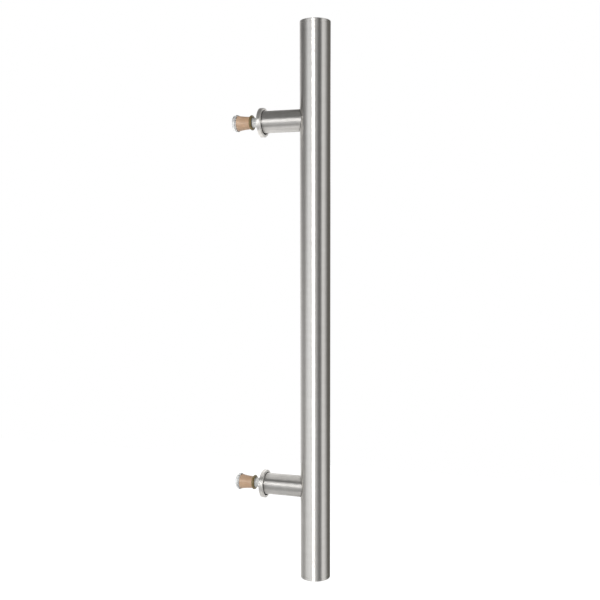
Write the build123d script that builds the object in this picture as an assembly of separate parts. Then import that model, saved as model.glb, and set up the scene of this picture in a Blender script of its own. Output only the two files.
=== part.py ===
from build123d import *
import os

# Door pull: a round grip tube on two posts, held to the door by two through bolts.
# The bar stands along Z, the door's face is the plane Y = 0 and the handle stands out
# towards -Y. The origin is midway between the two fixings, on the door's face.
# All sizes are in millimetres.

# Grip bar and its end caps
bar_length = 460.0          # over both end caps
bar_diameter = 25.0
bar_wall = 1.2
bar_standoff = 47.0         # door face to the bar's axis
fixing_centres = 305.0      # post to post
cap_flange = 2.5            # thickness of the cap outside the tube
cap_spigot = 8.0            # length of the cap inside the tube
cap_spigot_wall = 2.5
cap_edge_round = 0.6
cap_lead_in = 0.8           # chamfer that starts the spigot in the tube
seam_chamfer = 0.15         # fine groove where cap and tube meet

# Posts
post_diameter = 18.0
post_end_chamfer = 0.4

# Collars, shallow cups trapped between the posts and the door
collar_wall = 2.1
collar_height = 3.5
collar_floor = 0.8
collar_edge_round = 0.5

# Screws that pull the posts on to the bar, with their nuts and spring washers
screw_diameter = 6.0
screw_head_diameter = 10.0
screw_head_height = 6.0
screw_head_chamfer = 0.6
screw_key = 5.0             # across the flats of the key's socket
screw_key_depth = 3.0
screw_tip_chamfer = 0.8
screw_stickout = 0.7        # beyond the nut
nut_width = 14.0
nut_length = 17.0
nut_thickness = 5.5
lock_washer_inset = 0.1     # its rim lies this far in from the head's
lock_washer_thickness = 1.6
lock_washer_split = 1.0
lock_washer_split_angle = 20.0

# Threaded inserts in the posts' door ends
insert_diameter = 12.0
insert_length = 12.0
insert_slot_width = 2.0
insert_slot_depth = 1.6

# Through bolts and what they carry
bolt_diameter = 8.0
bolt_tip_chamfer = 1.0
bolt_bare_length = 6.7      # bright shank that shows behind the door face
bolt_head_diameter = 12.8
bolt_head_height = 1.9
bolt_head_round = 0.8
bolt_key = 5.0
bolt_key_depth = 1.8
ring_section = 2.2
bush_neck_wall = 0.9
bush_wide_wall = 2.2
bush_bow = 0.27             # how far the flare dips in below a straight taper
bush_length = 11.0
bush_edge_round = 0.3
washer_diameter = 14.0
washer_thickness = 1.6
washer_edge_round = 0.4

# Fits, as radial gaps unless they say otherwise
bar_seat_gap = 0.1          # post on the bar, nut in the bar
spigot_gap = 0.1            # end cap in the tube
thread_gap = 0.1            # between nominal thread cylinders
screw_gap = 0.25            # screw in its clearance holes
head_gap = 0.2              # screw head in the post's counterbore
stack_gap = 0.4             # screw head to insert, bolt tip to the insert's inner end
stack_play = 0.05           # along the bolt, between the pieces that it carries
collar_post_gap = 0.8       # post in the collar's cup
collar_bolt_gap = 0.4       # bolt in the collar's floor
liner_bolt_gap = 0.2        # bolt in the bush and in the clear washer
ring_gap = 0.05             # rubber ring on the bolt
hang_rest = 0.05            # left at the top where a loose piece hangs on its bolt

# Radii that follow
bar_radius = bar_diameter / 2
bar_bore_radius = bar_radius - bar_wall
post_radius = post_diameter / 2
screw_radius = screw_diameter / 2
screw_hole_radius = screw_radius + screw_gap
screw_head_radius = screw_head_diameter / 2
bolt_radius = bolt_diameter / 2
liner_bore_radius = bolt_radius + liner_bolt_gap

# Places along Y, from inside the bar to the bolt's head
bar_axis_y = -bar_standoff
post_end_y = -collar_floor
insert_inner_y = post_end_y - insert_length
screw_head_top_y = insert_inner_y - stack_gap
lock_washer_y = screw_head_top_y - screw_head_height
screw_seat_y = lock_washer_y - lock_washer_thickness
nut_face_y = bar_axis_y + bar_bore_radius - bar_seat_gap
nut_back_y = nut_face_y - nut_thickness
screw_tip_y = nut_back_y - screw_stickout
bolt_tip_y = insert_inner_y + stack_gap
ring_y = bolt_bare_length
bush_y = ring_y + ring_section + stack_play
bush_end_y = bush_y + bush_length
washer_y = bush_end_y + stack_play
washer_end_y = washer_y + washer_thickness
bolt_head_y = washer_end_y + stack_play
bolt_top_y = bolt_head_y + bolt_head_height


def turned(*outline):
    """A solid turned about the Y axis from its half section of (radius, y) points."""
    return revolve(make_face(Polyline(*outline, close=True)), Axis.Y)


def rod(radius, low_y, high_y):
    """A plain round length along Y."""
    return turned((0, low_y), (radius, low_y), (radius, high_y), (0, high_y))


def sleeve(inner, outer, low_y, high_y):
    """A plain ring along Y, from one radius to another."""
    return turned((inner, low_y), (outer, low_y), (outer, high_y), (inner, high_y))


def hex_socket(across_flats, mouth_y, depth):
    """The hole for a hexagon key, from its mouth down along -Y, with a drill-point floor."""
    mouth = Plane((0, mouth_y, 0), z_dir=(0, -1, 0))
    flats = extrude(mouth * RegularPolygon(across_flats / 2, 6, major_radius=False), depth)
    floor_y = mouth_y - depth
    drill_point = across_flats / 4
    return flats + turned((0, floor_y), (across_flats / 2, floor_y), (0, floor_y - drill_point))


def outer_rims(solid, *places):
    """The outermost round edge of a turned solid at each of some places along Y."""
    circles = solid.edges().filter_by(GeomType.CIRCLE)
    return [circles.filter_by_position(Axis.Y, y, y).sort_by(SortBy.RADIUS)[-1] for y in places]


def hung(piece, gap):
    """A loose piece, let down on its bolt by the play in its hole."""
    return Pos(0, 0, hang_rest - gap) * piece


def grip_tube():
    """A length of tube with a chamfer at each end and a screw hole behind each post."""
    half = bar_length / 2 - cap_flange
    tube = Cylinder(bar_radius, 2 * half) - Cylinder(bar_bore_radius, 2 * half)
    outer_ends = tube.edges().filter_by(GeomType.CIRCLE).sort_by(SortBy.RADIUS)[-2:]
    tube = Pos(0, bar_axis_y, 0) * chamfer(outer_ends, seam_chamfer)
    drill = rod(screw_hole_radius, bar_axis_y, 0)
    for height in (fixing_centres / 2, -fixing_centres / 2):
        tube -= Pos(0, 0, height) * drill
    return tube


def end_cap(way):
    """A turned cap: a flush flange with an eased edge and a hollow spigot in the tube."""
    spigot_radius = bar_bore_radius - spigot_gap
    cap = Cylinder(bar_radius, cap_flange, align=(Align.CENTER, Align.CENTER, Align.MIN))
    rims = cap.edges().filter_by(GeomType.CIRCLE).sort_by(Axis.Z)
    cap = fillet(rims[-1], cap_edge_round)
    cap = chamfer(cap.edges().filter_by(GeomType.CIRCLE).sort_by(Axis.Z)[0], seam_chamfer)
    spigot = Cylinder(spigot_radius, cap_spigot, align=(Align.CENTER, Align.CENTER, Align.MAX))
    spigot = chamfer(spigot.edges().filter_by(GeomType.CIRCLE).sort_by(Axis.Z)[0], cap_lead_in)
    recess = Cylinder(
        spigot_radius - cap_spigot_wall, cap_spigot, align=(Align.CENTER, Align.CENTER, Align.MAX)
    )
    cap = Pos(0, 0, bar_length / 2 - cap_flange) * (cap + spigot - recess)
    if way == "down":
        cap = Rot(180, 0, 0) * cap
    return Pos(0, bar_axis_y, 0) * cap


def post():
    """A turned post, coped to the bar, bored for its screw, the screw's head and the insert."""
    blank = turned(
        (0, bar_axis_y),
        (post_radius, bar_axis_y),
        (post_radius, post_end_y - post_end_chamfer),
        (post_radius - post_end_chamfer, post_end_y),
        (0, post_end_y),
    )
    bar = Pos(0, bar_axis_y, 0) * Cylinder(bar_radius + bar_seat_gap, bar_length)
    screw_bore = rod(screw_hole_radius, bar_axis_y, screw_seat_y)
    head_bore = rod(screw_head_radius + head_gap, screw_seat_y, insert_inner_y)
    insert_bore = rod(insert_diameter / 2 + thread_gap, insert_inner_y, post_end_y)
    return blank - bar - screw_bore - head_bore - insert_bore


def saddle_nut():
    """A slice of round bar with a flat back, threaded for the post's screw."""
    round_bar = Pos(0, bar_axis_y, 0) * Cylinder(bar_bore_radius - bar_seat_gap, nut_length)
    block = Pos(0, (nut_face_y + nut_back_y) / 2, 0) * Box(nut_width, nut_thickness, nut_length)
    return (round_bar & block) - rod(screw_radius + thread_gap, nut_back_y, nut_face_y)


def post_screw():
    """A socket-head screw with its key socket towards the door."""
    screw = turned(
        (0, screw_tip_y),
        (screw_radius - screw_tip_chamfer, screw_tip_y),
        (screw_radius, screw_tip_y + screw_tip_chamfer),
        (screw_radius, lock_washer_y),
        (screw_head_radius, lock_washer_y),
        (screw_head_radius, screw_head_top_y - screw_head_chamfer),
        (screw_head_radius - screw_head_chamfer, screw_head_top_y),
        (0, screw_head_top_y),
    )
    return screw - hex_socket(screw_key, screw_head_top_y, screw_key_depth)


def lock_washer():
    """A split spring washer, pressed flat under the screw's head."""
    outer = screw_head_radius - lock_washer_inset
    ring = sleeve(screw_hole_radius, outer, screw_seat_y, lock_washer_y)
    cut = Rot(lock_washer_split_angle, 0, 0) * Box(2 * outer, 2 * lock_washer_thickness, lock_washer_split)
    return ring - Pos(outer, (screw_seat_y + lock_washer_y) / 2, 0) * cut


def threaded_insert():
    """A threaded plug with a slot across its door end, to turn it home."""
    plug = sleeve(bolt_radius + thread_gap, insert_diameter / 2, insert_inner_y, post_end_y)
    slot = Box(insert_diameter, 2 * insert_slot_depth, insert_slot_width)
    return plug - Pos(0, post_end_y, 0) * slot


def collar():
    """A shallow turned cup: its floor lies between post and door, its wall stands clear of the post."""
    hole = bolt_radius + collar_bolt_gap
    cup = post_radius + collar_post_gap
    outer = cup + collar_wall
    ring = turned(
        (hole, post_end_y),
        (cup, post_end_y),
        (cup, -collar_height),
        (outer, -collar_height),
        (outer, 0),
        (hole, 0),
    )
    ring = fillet(outer_rims(ring, -collar_height, 0), collar_edge_round)
    return hung(ring, collar_bolt_gap)


def through_bolt():
    """A low-headed bolt: its tip is in the insert and its head is behind the door."""
    head_radius = bolt_head_diameter / 2
    bolt = turned(
        (0, bolt_tip_y),
        (bolt_radius - bolt_tip_chamfer, bolt_tip_y),
        (bolt_radius, bolt_tip_y + bolt_tip_chamfer),
        (bolt_radius, bolt_head_y),
        (head_radius, bolt_head_y),
        (head_radius, bolt_top_y),
        (0, bolt_top_y),
    )
    bolt = fillet(outer_rims(bolt, bolt_top_y), bolt_head_round)
    return bolt - hex_socket(bolt_key, bolt_top_y, bolt_key_depth)


def seal_ring():
    """A round-section rubber ring, snug on the bolt."""
    section_radius = ring_section / 2
    middle = bolt_radius + ring_gap + section_radius
    section = Pos(middle, ring_y + section_radius) * Circle(section_radius)
    return revolve(section, Axis.Y)


def tapered_bush():
    """A moulded bush that flares towards the bolt's head."""
    neck = (liner_bore_radius + bush_neck_wall, bush_y)
    mouth = (liner_bore_radius + bush_wide_wall, bush_end_y)
    flare = SagittaArc(neck, mouth, bush_bow)
    bore = Polyline(mouth, (liner_bore_radius, bush_end_y), (liner_bore_radius, bush_y), neck)
    bush = revolve(make_face(flare + bore), Axis.Y)
    bush = fillet(outer_rims(bush, bush_y, bush_end_y), bush_edge_round)
    return hung(bush, liner_bolt_gap)


def clear_washer():
    """A clear plastic disc under the bolt's head, with softened edges."""
    disc = sleeve(liner_bore_radius, washer_diameter / 2, washer_y, washer_end_y)
    disc = fillet(outer_rims(disc, washer_y, washer_end_y), washer_edge_round)
    return hung(disc, liner_bolt_gap)


os.makedirs("parts", exist_ok=True)
export_step(grip_tube(), "parts/grip_tube.step")
export_step(end_cap("up"), "parts/top_end_cap.step")
export_step(end_cap("down"), "parts/bottom_end_cap.step")

fixing = {
    "post": post(),
    "saddle_nut": saddle_nut(),
    "post_screw": post_screw(),
    "lock_washer": lock_washer(),
    "threaded_insert": threaded_insert(),
    "collar": collar(),
    "through_bolt": through_bolt(),
    "seal_ring": seal_ring(),
    "tapered_bush": tapered_bush(),
    "clear_washer": clear_washer(),
}
for side, height in (("upper", fixing_centres / 2), ("lower", -fixing_centres / 2)):
    for name, piece in fixing.items():
        export_step(Pos(0, 0, height) * piece, f"parts/{side}_{name}.step")
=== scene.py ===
import math

import bmesh
import bpy
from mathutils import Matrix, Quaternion, Vector


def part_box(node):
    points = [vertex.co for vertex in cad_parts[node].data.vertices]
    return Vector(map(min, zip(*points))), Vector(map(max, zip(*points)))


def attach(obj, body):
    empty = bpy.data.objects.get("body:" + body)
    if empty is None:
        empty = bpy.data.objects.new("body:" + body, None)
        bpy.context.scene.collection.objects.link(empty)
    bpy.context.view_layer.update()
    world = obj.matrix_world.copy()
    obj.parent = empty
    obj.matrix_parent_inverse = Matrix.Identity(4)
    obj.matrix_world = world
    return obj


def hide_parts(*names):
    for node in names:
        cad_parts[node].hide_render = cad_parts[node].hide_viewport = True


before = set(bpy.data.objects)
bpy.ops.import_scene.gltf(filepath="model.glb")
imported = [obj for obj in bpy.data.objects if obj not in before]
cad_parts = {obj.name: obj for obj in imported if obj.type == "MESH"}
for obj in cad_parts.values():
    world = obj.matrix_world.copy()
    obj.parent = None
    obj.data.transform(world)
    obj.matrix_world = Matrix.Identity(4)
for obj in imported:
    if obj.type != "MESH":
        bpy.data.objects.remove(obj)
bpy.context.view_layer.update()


# Grip tube
# A length of stainless tube, polished to a satin finish while it turned, so that
# the finest lines run round it. Its ends take the caps and the posts pull on to its back.

tube_low, tube_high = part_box("grip_tube")
bar_middle = (tube_low + tube_high) / 2
bar_axis = Vector((0.0, bar_middle.y, 0.0))
bar_radius = (tube_high.x - tube_low.x) / 2
bar_roughness = (0.355, 0.39)
upright = Vector((0.0, 0.0, 1.0))
satin_line = 0.0003
satin_line_run = 0.5
satin_band = 0.004
satin_band_run = 1.2
satin_relief = 0.000008


def add_node(tree, kind, inputs=(), **settings):
    """A shader node with its settings; an input is linked if it is a socket, and set if not."""
    made = tree.nodes.new(kind)
    for setting, value in settings.items():
        setattr(made, setting, value)
    for socket, value in dict(inputs).items():
        if isinstance(value, bpy.types.NodeSocket):
            tree.links.new(value, made.inputs[socket])
        else:
            made.inputs[socket].default_value = value
    return made


def new_finish(name):
    """A material with its shader, ready for more nodes."""
    finish = bpy.data.materials.new(name)
    finish.use_nodes = True
    return finish, finish.node_tree, finish.node_tree.nodes["Principled BSDF"]


def colour(red, green, blue, tone=1.0):
    """A colour for a shader's socket, made lighter or darker by its tone."""
    return (tone * red, tone * green, tone * blue, 1.0)


def turned_place(tree, centre, axis):
    """How far a point lies from a turned piece's axis, how far along it, and on which side."""
    place = add_node(tree, "ShaderNodeTexCoord").outputs["Object"]
    centred = add_node(
        tree, "ShaderNodeMapping", {"Vector": place, "Location": -Vector(centre)}
    ).outputs["Vector"]
    along = add_node(
        tree, "ShaderNodeVectorMath", {0: centred, 1: axis}, operation="DOT_PRODUCT"
    ).outputs["Value"]
    across = add_node(
        tree, "ShaderNodeVectorMath", {0: centred, 1: Vector((1, 1, 1)) - axis}, operation="MULTIPLY"
    ).outputs["Vector"]
    radius = add_node(tree, "ShaderNodeVectorMath", {0: across}, operation="LENGTH").outputs["Value"]
    side = add_node(tree, "ShaderNodeVectorMath", {0: across}, operation="NORMALIZE").outputs["Vector"]
    return radius, along, side


def ring_lines(tree, centre, axis, spacing, run):
    """Fine uneven lines round an axis: on a wall they follow it round, on an end they are rings."""
    radius, along, side = turned_place(tree, centre, axis)
    rings = add_node(
        tree, "ShaderNodeVectorMath", {0: axis / spacing, "Scale": radius}, operation="SCALE"
    ).outputs["Vector"]
    turn = add_node(
        tree, "ShaderNodeVectorMath", {0: side, "Scale": 1 / run}, operation="SCALE"
    ).outputs["Vector"]
    where = add_node(
        tree, "ShaderNodeVectorMath", {0: rings, 1: turn}, operation="ADD"
    ).outputs["Vector"]
    level = add_node(
        tree, "ShaderNodeMath", {0: along, 1: 1 / spacing}, operation="MULTIPLY"
    ).outputs[0]
    return add_node(
        tree,
        "ShaderNodeTexNoise",
        {"Vector": where, "W": level, "Scale": 1.0, "Detail": 3.0, "Roughness": 0.6},
        noise_dimensions="4D",
    ).outputs["Fac"]


def spread(tree, value, low, high, start=0.3, end=0.7):
    """A value between start and end, stretched to run from one level to another."""
    return add_node(
        tree,
        "ShaderNodeMapRange",
        {"Value": value, "From Min": start, "From Max": end, "To Min": low, "To Max": high},
    ).outputs["Result"]


def mixed(tree, share, first, second):
    """A colour between two others."""
    return add_node(
        tree, "ShaderNodeMix", {"Factor": share, "A": first, "B": second}, data_type="RGBA"
    ).outputs["Result"]


def satin_steel(name, centre, axis, roughness, tone=1.0):
    """Stainless steel with satin lines round an axis, between two roughnesses."""
    finish, tree, steel = new_finish(name)
    lines = ring_lines(tree, centre, axis, satin_line, satin_line_run)
    bands = ring_lines(tree, centre, axis, satin_band, satin_band_run)
    dull_steel = colour(0.635, 0.618, 0.592, tone)
    light_steel = colour(0.675, 0.659, 0.634, tone)
    shade = mixed(tree, spread(tree, bands, 0.0, 1.0), dull_steel, light_steel)
    tree.links.new(shade, steel.inputs["Base Color"])
    tree.links.new(spread(tree, lines, *roughness), steel.inputs["Roughness"])
    steel.inputs["Metallic"].default_value = 1.0
    steel.inputs["Anisotropic"].default_value = 1.0
    steel.inputs["Anisotropic Rotation"].default_value = 0.25
    tangent = add_node(
        tree, "ShaderNodeTangent", direction_type="RADIAL", axis="Z" if axis.z else "Y"
    )
    tree.links.new(tangent.outputs["Tangent"], steel.inputs["Tangent"])
    relief = add_node(
        tree, "ShaderNodeBump", {"Height": lines, "Strength": 0.3, "Distance": satin_relief}
    )
    tree.links.new(relief.outputs["Normal"], steel.inputs["Normal"])
    return finish


def dress(node, finish):
    """Gives a carried-over piece its finish."""
    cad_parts[node].data.materials.clear()
    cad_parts[node].data.materials.append(finish)


dress("grip_tube", satin_steel("tube_satin", bar_axis, upright, bar_roughness))


# End caps
# Turned stainless caps with a spigot pressed into the tube. Their rims are flush with it,
# their edges are eased, and the flat ends carry the rings of the turning tool.

cap_satin = satin_steel("cap_satin", bar_axis, upright, bar_roughness)
for end in ("top_end_cap", "bottom_end_cap"):
    dress(end, cap_satin)


# Posts
# Stainless posts, turned and satined round their own axis, each coped to fit the bar.
# Painted shade darkens them in the seam at the bar and down inside the collar.

outward = Vector((0.0, 1.0, 0.0))
post_roughness = (0.5, 0.58)
painted_shade_colour = colour(0.012, 0.011, 0.009)
seam_width = 0.0003
seam_shade_share = 0.8
recess_shadow = 0.0003


def paint_shade(finish, share):
    """Painted shade in a seam or recess, where share is 1."""
    tree = finish.node_tree
    base = tree.nodes["Principled BSDF"].inputs["Base Color"]
    tree.links.new(mixed(tree, share, base.links[0].from_socket, painted_shade_colour), base)


fixing_heights = {}
for side in ("upper", "lower"):
    low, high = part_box(f"{side}_post")
    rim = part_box(f"{side}_collar")[0].y
    fixing_heights[side] = (low.z + high.z) / 2
    centre = (0, 0, fixing_heights[side])
    finish = satin_steel(f"{side}_post_satin", centre, outward, post_roughness)
    tree = finish.node_tree
    from_bar = turned_place(tree, bar_axis, upright)[0]
    seam_start = bar_radius + seam_width / 2
    seam_end = bar_radius + seam_width
    # Painted shade in the seam where the post meets the bar.
    paint_shade(finish, spread(tree, from_bar, seam_shade_share, 0.0, seam_start, seam_end))
    along = turned_place(tree, centre, outward)[1]
    # Painted shade on the post where it goes down into the collar.
    paint_shade(finish, spread(tree, along, 0.0, 1.0, rim - recess_shadow, rim))
    dress(f"{side}_post", finish)


# Collars
# Shallow turned cups of stainless steel that stand round the posts' door ends, rougher and
# lighter than the posts. They hang loose on the bolts, and painted shade darkens the inside of each cup.

collar_roughness = (0.62, 0.7)
collar_tone = 1.3
dark_inset = 0.0006
dark_from_back = 0.0004
dark_fade = 0.0002

for side in ("upper", "lower"):
    low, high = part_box(f"{side}_collar")
    post_low, post_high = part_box(f"{side}_post")
    centre = (0, 0, (low.z + high.z) / 2)
    collar_radius = (high.x - low.x) / 2
    post_radius = (post_high.x - post_low.x) / 2
    dark_radius = (collar_radius + post_radius) / 2 - dark_inset
    finish = satin_steel(f"{side}_collar_satin", centre, outward, collar_roughness, collar_tone)
    tree = finish.node_tree
    radius, along, _ = turned_place(tree, centre, outward)
    inside = spread(tree, radius, 1.0, 0.0, dark_radius, dark_radius + dark_fade)
    not_back = spread(tree, along, 1.0, 0.0, -dark_from_back, dark_fade - dark_from_back)
    share = add_node(
        tree, "ShaderNodeMath", {0: inside, 1: not_back}, operation="MULTIPLY"
    ).outputs[0]
    # Painted shade inside the cup, round the post.
    paint_shade(finish, share)
    dress(f"{side}_collar", finish)


# Hidden fixings
# Curved saddle nuts inside the tube, with the socket-head screws and spring washers that
# pull the posts on to it. They are steel, turned or formed and then plated with bright zinc.

turning_line = 0.0004
turning_line_run = 0.6
zinc_relief = 0.00001


def cloudy(tree, scale, detail):
    """Soft uneven noise all through a piece."""
    place = add_node(tree, "ShaderNodeTexCoord").outputs["Object"]
    return add_node(
        tree, "ShaderNodeTexNoise", {"Vector": place, "Scale": scale, "Detail": detail}
    ).outputs["Fac"]


def bright_zinc(name, centre, axis):
    """Zinc-plated steel, turned and then plated, with a faint bloom."""
    finish, tree, zinc = new_finish(name)
    lines = ring_lines(tree, centre, axis, turning_line, turning_line_run)
    bloom = cloudy(tree, 260.0, 4.0)
    grey_zinc = colour(0.64, 0.645, 0.64)
    pale_zinc = colour(0.74, 0.74, 0.725)
    shade = mixed(tree, spread(tree, bloom, 0.0, 1.0), grey_zinc, pale_zinc)
    tree.links.new(shade, zinc.inputs["Base Color"])
    tree.links.new(spread(tree, bloom, 0.64, 0.76), zinc.inputs["Roughness"])
    zinc.inputs["Metallic"].default_value = 1.0
    relief = add_node(
        tree, "ShaderNodeBump", {"Height": lines, "Strength": 0.5, "Distance": zinc_relief}
    )
    tree.links.new(relief.outputs["Normal"], zinc.inputs["Normal"])
    return finish


zinc_plate = {}
for side, height in fixing_heights.items():
    zinc_plate[side] = bright_zinc(f"{side}_zinc", (0, 0, height), outward)
    for name in ("saddle_nut", "post_screw", "lock_washer"):
        dress(f"{side}_{name}", zinc_plate[side])


# Threaded inserts
# Brass plugs, turned and slotted, that are screwed into the posts' door ends after the
# post screws. The tips of the through bolts go into them.

dark_brass = colour(0.6, 0.42, 0.16)
light_brass = colour(0.74, 0.55, 0.26)

for side, height in fixing_heights.items():
    finish, tree, brass = new_finish(f"{side}_brass")
    lines = ring_lines(tree, (0, 0, height), outward, turning_line, turning_line_run)
    shade = mixed(tree, spread(tree, lines, 0.0, 1.0), dark_brass, light_brass)
    tree.links.new(shade, brass.inputs["Base Color"])
    tree.links.new(spread(tree, lines, 0.24, 0.36), brass.inputs["Roughness"])
    brass.inputs["Metallic"].default_value = 1.0
    dress(f"{side}_threaded_insert", finish)


# Through bolts
# Zinc-plated steel bolts with a rolled thread that runs out into a plain shank inside the bush.
# The low round head has a hexagon socket, and the tip screws into the insert in the post.

bolt_radius = 0.004
thread_pitch = 0.00125
thread_depth = 0.00072
thread_crest = 0.00018
thread_root = 0.0003
thread_run_out = 0.0015
tip_chamfer = 0.001
head_height = 0.0019
head_round = 0.0008
head_round_steps = 6
head_under_round = 0.00015
head_under_steps = 2
socket_across = 0.005
socket_depth = 0.0018
socket_mouth = 0.0031
socket_countersink = 0.00015
socket_drill_point = socket_across / 4
turn_steps = 48
flank_cuts = 2
thread_weld = 5e-6
weld = 1e-6


def mesh_piece(name, bm, crease=math.radians(30)):
    """A new object from a bmesh, smooth up to a crease angle."""
    mesh = bpy.data.meshes.new(name)
    bm.to_mesh(mesh)
    bm.free()
    mesh.shade_smooth()
    mesh.set_sharp_from_angle(angle=crease)
    made = bpy.data.objects.new(name, mesh)
    bpy.context.scene.collection.objects.link(made)
    return made


def chain(bm, points):
    """A row of edges through (radius, place along the bolt) points."""
    corners = [bm.verts.new((radius, place, 0.0)) for radius, place in points]
    return [bm.edges.new(pair) for pair in zip(corners, corners[1:])]


def rim_at(bm, place, near=1e-5):
    """The open edges that lie across the bolt at one place along it."""
    return [
        edge for edge in bm.edges
        if edge.is_boundary and all(abs(corner.co.y - place) < near for corner in edge.verts)
    ]


def roll_thread(bm, start, end):
    """A right-hand thread between two places, with a chamfered tip and a run-out to the full radius."""
    root = bolt_radius - thread_depth
    flank = (thread_pitch - thread_crest - thread_root) / 2
    first = start - thread_pitch
    points = [(bolt_radius, first), (bolt_radius, first + thread_crest)]
    points += [(root, first + thread_crest + flank), (root, first + thread_pitch - flank)]
    points.append((bolt_radius, first + thread_pitch))
    edges = chain(bm, points)
    bmesh.ops.subdivide_edges(bm, edges=edges[1::2], cuts=flank_cuts)
    bmesh.ops.spin(
        bm, geom=bm.verts[:] + bm.edges[:], axis=outward, dvec=outward * thread_pitch / turn_steps,
        angle=math.tau, steps=turn_steps,
    )
    one_turn = bm.verts[:] + bm.edges[:] + bm.faces[:]
    for number in range(1, math.ceil((end - first) / thread_pitch) + 1):
        copy = bmesh.ops.duplicate(bm, geom=one_turn)["geom"]
        corners = [part for part in copy if isinstance(part, bmesh.types.BMVert)]
        bmesh.ops.translate(bm, verts=corners, vec=outward * thread_pitch * number)
    bmesh.ops.remove_doubles(bm, verts=bm.verts, dist=thread_weld)
    for place, way in ((start, -outward), (end, outward)):
        bmesh.ops.bisect_plane(
            bm, geom=bm.verts[:] + bm.edges[:] + bm.faces[:],
            plane_co=outward * place, plane_no=way, clear_outer=True,
        )
    for corner in bm.verts:
        radius = math.hypot(corner.co.x, corner.co.z)
        pointed = bolt_radius - tip_chamfer + corner.co.y - start
        filled = bolt_radius - thread_depth * (end - corner.co.y) / thread_run_out
        wanted = min(max(radius, filled), pointed, bolt_radius)
        corner.co.x *= wanted / radius
        corner.co.z *= wanted / radius


def on_circle(corner, place, radius):
    """Whether a corner lies on a circle round the bolt."""
    off_circle = math.hypot(corner.co.x, corner.co.z) - radius
    return abs(corner.co.y - place) < weld and abs(off_circle) < weld


def turn_head(bm, neck, under, top, radius):
    """The plain shank from the neck up and the low head on it, open at the socket's mouth."""
    old = set(bm.verts)
    edges = chain(bm, [
        (bolt_radius, neck), (bolt_radius, under), (radius, under), (radius, top), (socket_mouth, top),
    ])
    profile = [corner for corner in bm.verts if corner not in old]
    bmesh.ops.spin(
        bm, geom=profile + edges, axis=outward, angle=math.tau, steps=2 * turn_steps, use_merge=True
    )
    for place, size, steps in (
        (top, head_round, head_round_steps),
        (under, head_under_round, head_under_steps),
    ):
        rim = [
            edge for edge in bm.edges if all(on_circle(corner, place, radius) for corner in edge.verts)
        ]
        bmesh.ops.bevel(
            bm, geom=rim, offset=size, affect="EDGES", segments=steps, profile=0.5, material=-1
        )


def loose_edges(bm):
    """The edges that no face uses yet."""
    return [edge for edge in bm.edges if not edge.link_faces]


def cut_socket(bm, top):
    """The hexagon socket in the head, with a small countersink and a drilled floor."""
    mouth = rim_at(bm, top)
    hexagon = bmesh.ops.create_circle(bm, segments=6, radius=socket_across / math.sqrt(3))["verts"]
    bmesh.ops.rotate(bm, verts=hexagon, matrix=Quaternion((1, 0, 0), math.pi / 2).to_matrix())
    bmesh.ops.translate(bm, verts=hexagon, vec=outward * (top - socket_countersink))
    bmesh.ops.subdivide_edges(bm, edges=loose_edges(bm), cuts=turn_steps // 6 - 1)
    flats = loose_edges(bm)
    bmesh.ops.bridge_loops(bm, edges=mouth + flats)
    walls = bmesh.ops.extrude_edge_only(bm, edges=flats)["geom"]
    corners = [part for part in walls if isinstance(part, bmesh.types.BMVert)]
    bmesh.ops.translate(bm, verts=corners, vec=-outward * socket_depth)
    floor_edges = rim_at(bm, top - socket_countersink - socket_depth)
    drilled = bmesh.ops.contextual_create(bm, geom=floor_edges)["faces"]
    point = bmesh.ops.poke(bm, faces=drilled)["verts"][0]
    point.co.y -= socket_drill_point


for side, height in fixing_heights.items():
    low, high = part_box(f"{side}_through_bolt")
    thread_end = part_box(f"{side}_tapered_bush")[0].y + thread_run_out
    neck = thread_end + thread_pitch / 4
    bm = bmesh.new()
    roll_thread(bm, low.y, thread_end)
    bmesh.ops.contextual_create(bm, geom=rim_at(bm, low.y))
    turn_head(bm, neck, high.y - head_height, high.y, (high.x - low.x) / 2)
    bmesh.ops.bridge_loops(bm, edges=rim_at(bm, thread_end) + rim_at(bm, neck))
    cut_socket(bm, high.y)
    bmesh.ops.remove_doubles(bm, verts=bm.verts, dist=weld)
    bmesh.ops.recalc_face_normals(bm, faces=bm.faces)
    bmesh.ops.translate(bm, verts=bm.verts, vec=upright * height)
    bolt = mesh_piece(f"{side}_threaded_bolt", bm)
    bolt.data.materials.append(zinc_plate[side])
    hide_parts(f"{side}_through_bolt")
    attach(bolt, "root")


# Seal rings
# Moulded rubber rings of round section, dark brown and shiny. They are snug on the bolts,
# at the ends of the bushes that point to the posts.

dark_brown = colour(0.15, 0.108, 0.046)
olive_brown = colour(0.22, 0.16, 0.072)

finish, tree, rubber = new_finish("dark_rubber")
grain = cloudy(tree, 900.0, 3.0)
shade = mixed(tree, spread(tree, grain, 0.0, 1.0), dark_brown, olive_brown)
tree.links.new(shade, rubber.inputs["Base Color"])
tree.links.new(spread(tree, grain, 0.1, 0.17), rubber.inputs["Roughness"])
rubber.inputs["Specular Tint"].default_value = colour(0.95, 0.96, 0.6)
for side in fixing_heights:
    dress(f"{side}_seal_ring", finish)


# Tapered bushes
# Moulded bushes of tan plastic that line the holes in the door round the bolts.
# The plastic is cloudy and a little see-through at its edges.

dark_tan = colour(0.66, 0.42, 0.25)
light_tan = colour(0.76, 0.53, 0.36)

finish, tree, plastic = new_finish("tan_plastic")
cloud = cloudy(tree, 180.0, 2.0)
shade = mixed(tree, spread(tree, cloud, 0.0, 1.0), dark_tan, light_tan)
tree.links.new(shade, plastic.inputs["Base Color"])
plastic.inputs["Roughness"].default_value = 0.4
plastic.inputs["Transmission Weight"].default_value = 0.2
plastic.inputs["IOR"].default_value = 1.49
for side in fixing_heights:
    dress(f"{side}_tapered_bush", finish)


# Clear washers
# Moulded discs of clear plastic, slightly frosted, that lie on the bolts between the bushes
# and the bolts' heads.

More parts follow.
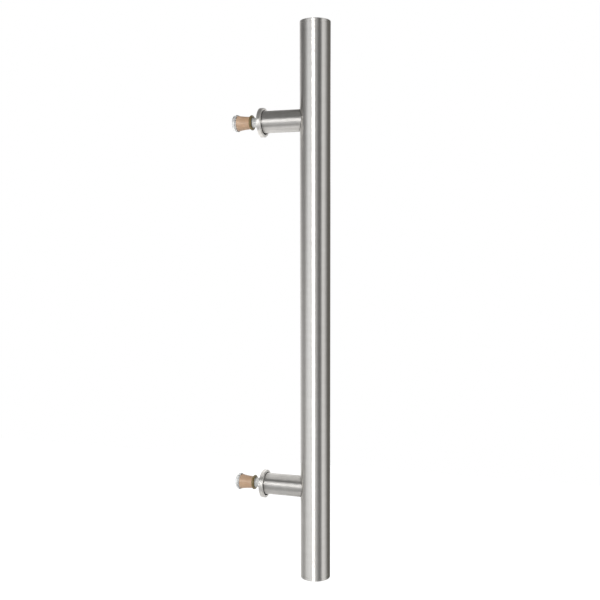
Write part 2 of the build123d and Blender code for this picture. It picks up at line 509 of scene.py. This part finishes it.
finish, tree, clear = new_finish("clear_plastic")
flow = cloudy(tree, 220.0, 2.0)
tree.links.new(spread(tree, flow, 0.3, 0.45), clear.inputs["Roughness"])
clear.inputs["Base Color"].default_value = colour(0.88, 0.885, 0.88)
clear.inputs["Transmission Weight"].default_value = 0.5
clear.inputs["IOR"].default_value = 1.35
for side in fixing_heights:
    dress(f"{side}_clear_washer", finish)


# Camera
# It stands a little above the middle of the bar, on its left, and sees the posts from their
# side. A small shift keeps the whole bar in the picture while the camera looks slightly down.

camera_place = Vector((-0.6785, -0.2585, 0.0521))
camera_heading = math.radians(18.335)
camera_pitch = math.radians(-5.547)
camera_roll = math.radians(-0.124)

camera = bpy.data.objects.new("camera", bpy.data.cameras.new("camera"))
bpy.context.scene.collection.objects.link(camera)
bpy.context.scene.camera = camera
sight = Vector((
    math.cos(camera_heading) * math.cos(camera_pitch),
    math.sin(camera_heading) * math.cos(camera_pitch),
    math.sin(camera_pitch),
))
camera.location = camera_place
camera.rotation_mode = "QUATERNION"
camera.rotation_quaternion = sight.to_track_quat("-Z", "Y") @ Quaternion((0, 0, 1), camera_roll)
camera.data.sensor_width = 36.0
camera.data.lens = 51.64
camera.data.shift_y = 0.0463


# Studio
# A white room with a pale floor well below the handle, and a soft lamp beside the camera. Curved
# screens that only reflections see give the bar its light and dark bands. A ceiling and two cards
# lie round the posts, and two lamps light only the posts and the pieces on them, bushes apart.

room_light = 0.5
white = colour(1.0, 1.0, 1.0)


def seen_directly(tree):
    """1 for what the camera sees straight, in a reflection or through a clear piece."""
    path = add_node(tree, "ShaderNodeLightPath").outputs
    shiny = add_node(
        tree, "ShaderNodeMath", {0: path["Is Camera Ray"], 1: path["Is Glossy Ray"]}, operation="MAXIMUM"
    ).outputs[0]
    return add_node(
        tree, "ShaderNodeMath", {0: shiny, 1: path["Is Transmission Ray"]}, operation="MAXIMUM"
    ).outputs[0]


world = bpy.data.worlds.new("white_room")
bpy.context.scene.world = world
world.use_nodes = True
tree = world.node_tree
strength = spread(tree, seen_directly(tree), room_light, 1.0, 0.0, 1.0)
background = tree.nodes["Background"]
background.inputs["Color"].default_value = white
tree.links.new(strength, background.inputs["Strength"])

floor_drop = 1.22
floor_half_width = 4.0
floor_glow = 0.7
bm = bmesh.new()
bmesh.ops.create_grid(bm, x_segments=1, y_segments=1, size=floor_half_width)
bmesh.ops.translate(bm, verts=bm.verts, vec=(0, 0, -floor_drop))
floor = mesh_piece("floor", bm)
finish, tree, paint = new_finish("pale_floor")
paint.inputs["Base Color"].default_value = colour(0.8, 0.8, 0.8)
paint.inputs["Roughness"].default_value = 0.9
paint.inputs["Emission Color"].default_value = white
strength = spread(tree, seen_directly(tree), 0.0, floor_glow, 0.0, 1.0)
tree.links.new(strength, paint.inputs["Emission Strength"])
floor.data.materials.append(finish)

camera_bearing = math.atan2(camera_place.y - bar_axis.y, camera_place.x - bar_axis.x)
screen_foot = -1.144
screen_head = 1.0675
screen_distance = 1.22
screen_steps = 24


def glow(name, level, tint, bearings, fades):
    """A light that glows at one level and fades out towards two bearings round the bar."""
    finish = bpy.data.materials.new(name)
    finish.use_nodes = True
    tree = finish.node_tree
    tree.nodes.clear()
    start, end = bearings
    half = (end - start) / 2
    place = add_node(tree, "ShaderNodeTexCoord").outputs["Object"]
    across = add_node(
        tree,
        "ShaderNodeMapping",
        {"Vector": place, "Location": bar_axis, "Rotation": (0, 0, (start + end) / 2)},
        vector_type="TEXTURE",
    )
    sides = add_node(tree, "ShaderNodeSeparateXYZ", {"Vector": across.outputs["Vector"]}).outputs
    bearing = add_node(
        tree, "ShaderNodeMath", {0: sides["Y"], 1: sides["X"]}, operation="ARCTAN2"
    ).outputs[0]
    rise = spread(tree, bearing, 0.0, 1.0, -half, fades[0] - half)
    fall = spread(tree, bearing, 1.0, 0.0, half - fades[1], half)
    share = add_node(tree, "ShaderNodeMath", {0: rise, 1: fall}, operation="MULTIPLY").outputs[0]
    lit = add_node(tree, "ShaderNodeEmission", {"Color": tint, "Strength": level}).outputs["Emission"]
    clear = add_node(tree, "ShaderNodeBsdfTransparent").outputs["BSDF"]
    both = add_node(tree, "ShaderNodeMixShader", {"Fac": share, 1: clear, 2: lit}).outputs["Shader"]
    add_node(tree, "ShaderNodeOutputMaterial", {"Surface": both})
    return finish


def reflected_only(piece, lights=False):
    """A studio piece that only shows in reflections, unless it lights what is matt too."""
    piece.visible_camera = False
    piece.visible_diffuse = lights
    piece.visible_transmission = False
    piece.visible_shadow = False


def screen(
    name, level, bearings, fades,
    low=screen_foot, high=screen_head, distance=screen_distance, tint=white,
):
    """A curved screen round the bar, between two bearings in degrees to the camera's right."""
    bearings = [camera_bearing + math.radians(turn) for turn in bearings]
    fades = [math.radians(turn) for turn in fades]
    start, end = bearings
    foot = bar_axis + distance * Vector((math.cos(start), math.sin(start), 0.0))
    bm = bmesh.new()
    ends = [bm.verts.new(foot + upright * low), bm.verts.new(foot + upright * high)]
    edge = bm.edges.new(ends)
    bmesh.ops.spin(
        bm, geom=[*ends, edge], cent=bar_axis, axis=upright, angle=end - start, steps=screen_steps
    )
    made = mesh_piece(name, bm)
    made.data.materials.append(glow(name, level, tint, bearings, fades))
    reflected_only(made)


left_edge = 0.13
lower_edge = -0.39
left_distance = 1.19
front_distance = 0.915
cool_white = colour(0.96, 0.98, 1.0)
warm_white = colour(1.0, 0.98, 0.9)

screen("left_flag", 0.76, (-150, -75), (28, 10), high=left_edge)
screen("upper_left_flag", 0.03, (-158, -53), (40, 14), low=left_edge, high=2.2, distance=left_distance)
screen("left_reflector", 1.57, (-81, -24), (12, 8), tint=cool_white)
screen("right_flag", 0.158, (-4, 54), (29, 8), distance=0.85)
screen("right_reflector", 1.05, (50, 94), (8, 26))
screen("far_right_flag", 0.18, (72, 178), (36, 10), tint=warm_white)
screen("upper_strip", 4.0, (-18.5, -3.5), (3, 3), low=0.4, high=0.68, distance=1.05)
screen("upper_front_flag", 0.2, (-110, 12), (20, 12), low=0.53, high=1.144, distance=front_distance)
screen("lower_left_flag", 0.5, (-150, -80), (28, 14), high=lower_edge, distance=left_distance)
screen("lower_front_flag", 0.86, (-90, 12), (24, 12), high=lower_edge, distance=front_distance)

hood_steps = 12


def hood(name, level, height, radius, elevations, reach):
    """A curved card round a post's axis, between two elevations in degrees from the camera's side."""
    start, end = (math.radians(turn) for turn in elevations)
    low, high = reach
    centre = upright * height
    foot = centre + radius * Vector((-math.cos(start), 0.0, math.sin(start)))
    bm = bmesh.new()
    ends = [bm.verts.new(foot + outward * low), bm.verts.new(foot + outward * high)]
    edge = bm.edges.new(ends)
    bmesh.ops.spin(
        bm, geom=[*ends, edge], cent=centre, axis=outward, angle=end - start, steps=hood_steps
    )
    made = mesh_piece(name, bm)
    finish, tree, paint = new_finish(name)
    paint.inputs["Base Color"].default_value = colour(0.0, 0.0, 0.0)
    paint.inputs["Specular IOR Level"].default_value = 0.0
    paint.inputs["Emission Color"].default_value = white
    paint.inputs["Emission Strength"].default_value = level
    made.data.materials.append(finish)
    reflected_only(made, lights=True)


hood("ceiling", 0.32, fixing_heights["upper"], 1.0, (42, 150), (-0.8, 0.9))
for side, height in fixing_heights.items():
    hood(f"{side}_rim_card", 1.0, height, 0.07, (130, 230), (-0.06, -0.01))


def soft_box(name, level, place, aim, width, height):
    """A soft lamp that faces a point and shows at a level of its own in a mirror."""
    lamp = bpy.data.objects.new(name, bpy.data.lights.new(name, "AREA"))
    bpy.context.scene.collection.objects.link(lamp)
    lamp.location = place
    lamp.rotation_mode = "QUATERNION"
    lamp.rotation_quaternion = (aim - place).to_track_quat("-Z", "Y")
    lamp.data.shape = "RECTANGLE"
    lamp.data.size = width
    lamp.data.size_y = height
    lamp.data.energy = level * math.pi * width * height
    lamp.visible_camera = False
    return lamp


lamp_level = 10.0
lamp_width = 0.32
lamp_height = 0.488
lamp_bearing = camera_bearing + math.radians(-14.5)
lamp_distance = 1.0675
lamp_rise = 0.1525
lamp_foot = bar_axis + lamp_distance * Vector((math.cos(lamp_bearing), math.sin(lamp_bearing), 0.0))
soft_box("soft_lamp", lamp_level, lamp_foot + upright * lamp_rise, bar_axis, lamp_width, lamp_height)

bounce_distance = 0.3
bounce_length = 0.34
for side, level, start, end in (("upper", 1.05, -160, -60), ("lower", 1.75, 68, 160)):
    rise = math.radians((start + end) / 2)
    half = math.radians((end - start) / 2)
    width = 2 * bounce_distance * math.tan(half)
    aim = Vector((0.0, bounce_length / 2, fixing_heights[side]))
    place = aim + bounce_distance * Vector((-math.cos(rise), 0.0, math.sin(rise)))
    bounce = soft_box(f"{side}_bounce", level, place, aim, bounce_length, width)
    bounce.visible_diffuse = False
    lit_pieces = bpy.data.collections.new(f"{side}_lit_pieces")
    for name in ("post", "collar", "threaded_bolt", "seal_ring", "clear_washer"):
        lit_pieces.objects.link(bpy.data.objects[f"{side}_{name}"])
    bounce.light_linking.receiver_collection = lit_pieces

bpy.context.scene.view_settings.view_transform = "Standard"
